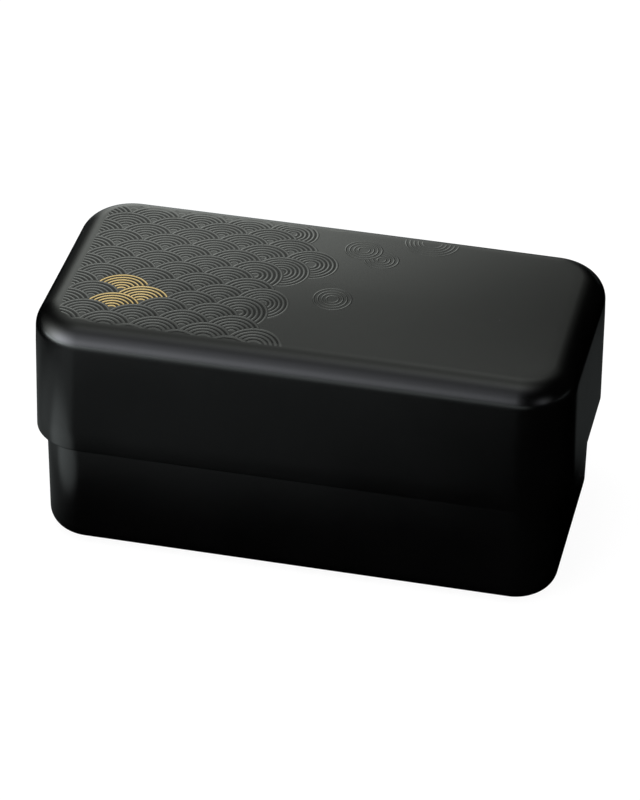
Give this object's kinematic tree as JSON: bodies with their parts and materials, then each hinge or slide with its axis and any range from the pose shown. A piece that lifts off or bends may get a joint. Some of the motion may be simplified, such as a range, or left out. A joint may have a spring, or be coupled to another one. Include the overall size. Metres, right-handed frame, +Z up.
{
  "type": "bento box",
  "caption": "Stacked lunch box: a deep outer lid with a crowned top over an upper and a lower food box, each closed by a sealed inner lid.",
  "frame": {"origin": "centre of the footprint, on the surface that the box stands on", "axes": "+X along the length, to the right as the picture shows the long side; +Y across the width, away from the viewer; +Z up"},
  "size_m": [0.18, 0.089, 0.0881],
  "materials": {
    "lacquer_lid": "satin black lacquer",
    "lacquer_tier": "satin black lacquer",
    "inner_lid": "soft moulded plastic, semi-matt",
    "silicone": "matt grey silicone",
    "divider": "semi-matt moulded plastic",
    "gold_print": "satin gold print on raised lines"
  },
  "bodies": {
    "lower_tier": {"lower_tier": "lacquer_tier"},
    "lower_inner_lid": {"lower_inner_lid": "inner_lid", "lower_seal": "silicone"},
    "upper_tier": {"upper_tier": "lacquer_tier"},
    "divider": {"divider": "divider"},
    "upper_inner_lid": {"upper_inner_lid": "inner_lid", "upper_seal": "silicone"},
    "outer_lid": {"outer_lid": "lacquer_lid"}
  },
  "joints": [
    {"name": "lower_inner_lid_lift", "type": "slide", "parent": "lower_tier", "child": "lower_inner_lid", "axis": [0, 0, 1], "range_m": [0, 0.06]},
    {"name": "upper_tier_lift", "type": "slide", "parent": "lower_inner_lid", "child": "upper_tier", "axis": [0, 0, 1], "range_m": [0, 0.06]},
    {"name": "divider_slide", "type": "slide", "parent": "upper_tier", "child": "divider", "axis": [1, 0, 0], "range_m": [-0.09, 0.036]},
    {"name": "upper_inner_lid_lift", "type": "slide", "parent": "upper_tier", "child": "upper_inner_lid", "axis": [0, 0, 1], "range_m": [0, 0.06]},
    {"name": "outer_lid_lift", "type": "slide", "parent": "upper_inner_lid", "child": "outer_lid", "axis": [0, 0, 1], "range_m": [0, 0.06]}
  ]
}
